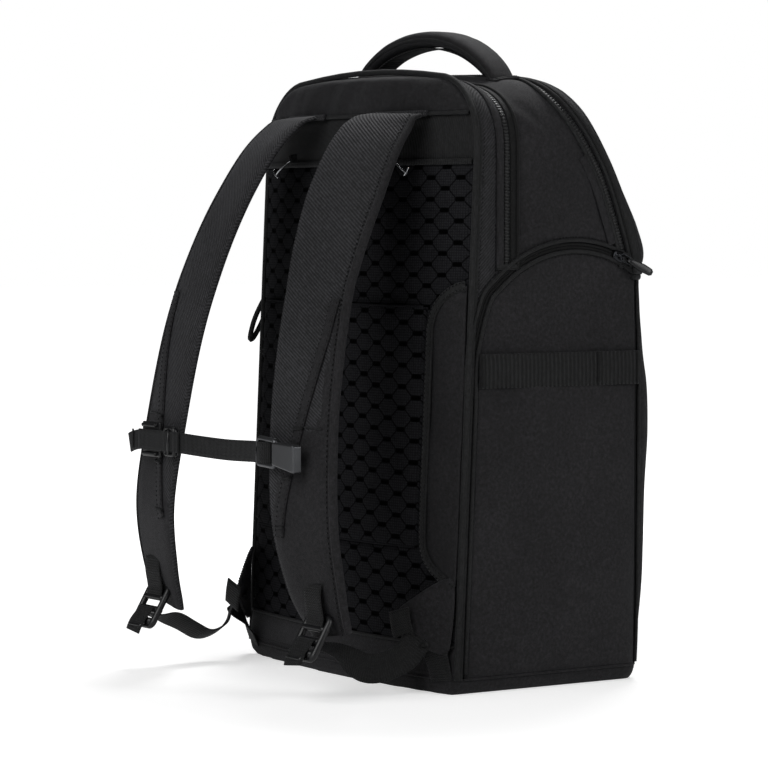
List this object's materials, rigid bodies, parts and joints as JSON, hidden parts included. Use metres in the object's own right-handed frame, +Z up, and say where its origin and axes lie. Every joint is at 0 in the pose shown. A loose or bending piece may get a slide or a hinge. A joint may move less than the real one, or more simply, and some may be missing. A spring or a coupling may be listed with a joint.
{
  "type": "racket backpack",
  "caption": "Rounded fabric backpack for rackets, with zipped hood, side door, air-mesh back, padded straps, sternum strap and haul handle.",
  "frame": {"origin": "on the ground under the middle of the body, in the flat underside of the base tray", "axes": "+Z up, +Y out of the padded back towards the wearer, +X to the wearer's left when worn (bottle pocket side); the side door is at -X"},
  "size_m": [0.3599, 0.3535, 0.5642],
  "materials": {
    "plain_nylon": "matte woven nylon",
    "ribbed_twill": "herringbone twill",
    "air_mesh": "matte embossed mesh",
    "webbing_tape": "ribbed webbing and zip tape",
    "moulded_plastic": "satin acetal",
    "bright_metal": "satin nickel",
    "dark_metal": "graphite",
    "frame_board": "sheet"
  },
  "bodies": {
    "bag": {"yoke_pad": "plain_nylon", "back_wing": "plain_nylon", "base_band": "plain_nylon", "side_panel_left": "plain_nylon", "side_panel_right": "plain_nylon", "top_panel": "plain_nylon", "front_panel": "plain_nylon", "base_tray": "plain_nylon", "laptop_divider": "plain_nylon", "corner_tab_right": "plain_nylon", "corner_tab_left": "plain_nylon", "back_piping": "plain_nylon", "yoke_band": "ribbed_twill", "rear_gusset": "ribbed_twill", "back_mesh": "air_mesh", "luggage_sleeve": "air_mesh", "bottle_pocket": "air_mesh", "laptop_zip": "webbing_tape", "main_zip": "webbing_tape", "side_zip_right": "webbing_tape", "side_zip_left": "webbing_tape", "handle_anchor_right": "webbing_tape", "handle_anchor_left": "webbing_tape", "adjuster_webbing_right": "webbing_tape", "adjuster_webbing_left": "webbing_tape", "frame_sheet": "frame_board"},
    "hood": {"hood": "plain_nylon"},
    "side_door": {"side_door": "plain_nylon", "side_webbing": "webbing_tape"},
    "haul_handle": {"haul_handle": "plain_nylon"},
    "strap_right": {"strap_pad_right": "ribbed_twill", "strap_rail_right": "webbing_tape", "lock_loop_right": "webbing_tape", "ladder_lock_right": "moulded_plastic"},
    "strap_left": {"strap_pad_left": "ribbed_twill", "strap_rail_left": "webbing_tape", "lock_loop_left": "webbing_tape", "ladder_lock_left": "moulded_plastic"},
    "sternum_strap": {"sternum_buckle_plate": "dark_metal", "sternum_triglide": "moulded_plastic", "sternum_webbing": "webbing_tape", "sternum_slider": "moulded_plastic", "sternum_tail": "webbing_tape"},
    "sternum_clip": {"sternum_buckle_frame": "dark_metal"},
    "side_door_slider": {"side_door_slider": "bright_metal"},
    "side_door_pull": {"side_door_pull": "dark_metal"},
    "main_slider": {"main_slider": "bright_metal"},
    "main_pull": {"main_pull": "dark_metal"},
    "laptop_slider": {"laptop_slider": "bright_metal"},
    "laptop_pull": {"laptop_pull": "dark_metal"},
    "left_pocket_slider": {"left_pocket_slider": "bright_metal"},
    "left_pocket_pull": {"left_pocket_pull": "dark_metal"},
    "fence_hook_right": {"fence_hook_right": "bright_metal"},
    "fence_hook_left": {"fence_hook_left": "bright_metal"}
  },
  "joints": [
    {"name": "hood_open", "type": "hinge", "parent": "bag", "child": "hood", "pos_m": [0, -0.1162, 0.3528], "axis": [1, 0, 0], "range_deg": [0, 95]},
    {"name": "side_door_open", "type": "hinge", "parent": "bag", "child": "side_door", "pos_m": [-0.1652, -0.0992, 0.2], "axis": [0, 0, 1], "range_deg": [0, 80]},
    {"name": "haul_handle_flop", "type": "hinge", "parent": "bag", "child": "haul_handle", "pos_m": [0, 0.005, 0.526], "axis": [1, 0, 0], "range_deg": [-25, 25], "stiffness_Nm_per_rad": 0.15},
    {"name": "strap_right_swing", "type": "hinge", "parent": "bag", "child": "strap_right", "pos_m": [0, 0.0935, 0.488], "axis": [1, 0, 0], "range_deg": [-9, 10], "deforming": ["adjuster_webbing_right"]},
    {"name": "strap_left_swing", "type": "hinge", "parent": "bag", "child": "strap_left", "pos_m": [0, 0.0935, 0.488], "axis": [1, 0, 0], "range_deg": [-9, 10], "deforming": ["adjuster_webbing_left"]},
    {"name": "sternum_height", "type": "slide", "parent": "strap_right", "child": "sternum_strap", "axis": [0, -0.085, 0.9964], "range_m": [-0.015, 0.015]},
    {"name": "sternum_release", "type": "slide", "parent": "sternum_strap", "child": "sternum_clip", "axis": [1, 0, 0], "range_m": [0, 0.015], "deforming": ["sternum_webbing"]},
    {"name": "side_door_zip_run", "type": "hinge", "parent": "bag", "child": "side_door_slider", "pos_m": [-0.168, -0.03, 0.258], "axis": [-1, 0, 0], "range_deg": [0, 75]},
    {"name": "main_zip_run", "type": "hinge", "parent": "bag", "child": "main_slider", "pos_m": [0.168, 0.117, 0.337], "axis": [-1, 0, 0], "range_deg": [0, 28]},
    {"name": "laptop_zip_run", "type": "slide", "parent": "bag", "child": "laptop_slider", "axis": [0, 0, 1], "range_m": [0, 0.08]},
    {"name": "left_pocket_zip_run", "type": "slide", "parent": "bag", "child": "left_pocket_slider", "axis": [0, 0, -1], "range_m": [0, 0.18]},
    {"name": "side_door_pull_flip", "type": "hinge", "parent": "side_door_slider", "child": "side_door_pull", "pos_m": [-0.1706, -0.07639, 0.36654], "axis": [0, 0.3746, -0.9272], "range_deg": [0, 80]},
    {"name": "main_pull_flip", "type": "hinge", "parent": "main_slider", "child": "main_pull", "pos_m": [0.1706, -0.08106, 0.37057], "axis": [0, -0.9511, 0.309], "range_deg": [0, 80]},
    {"name": "laptop_pull_flip", "type": "hinge", "parent": "laptop_slider", "child": "laptop_pull", "pos_m": [0.1706, 0.041, 0.3645], "axis": [0, -1, 0], "range_deg": [0, 80]},
    {"name": "left_pocket_pull_flip", "type": "hinge", "parent": "left_pocket_slider", "child": "left_pocket_pull", "pos_m": [0.1706, 0.07, 0.3285], "axis": [0, -1, 0], "range_deg": [0, 80]},
    {"name": "fence_hook_right_fold", "type": "hinge", "parent": "bag", "child": "fence_hook_right", "pos_m": [-0.08, 0.0931, 0.4522], "axis": [1, 0, 0], "range_deg": [0, 55]},
    {"name": "fence_hook_left_fold", "type": "hinge", "parent": "bag", "child": "fence_hook_left", "pos_m": [0.08, 0.0931, 0.4522], "axis": [1, 0, 0], "range_deg": [0, 55]}
  ],
  "couplings": [
    {"joint": "strap_left_swing", "follows": "strap_right_swing", "ratio": 1}
  ]
}
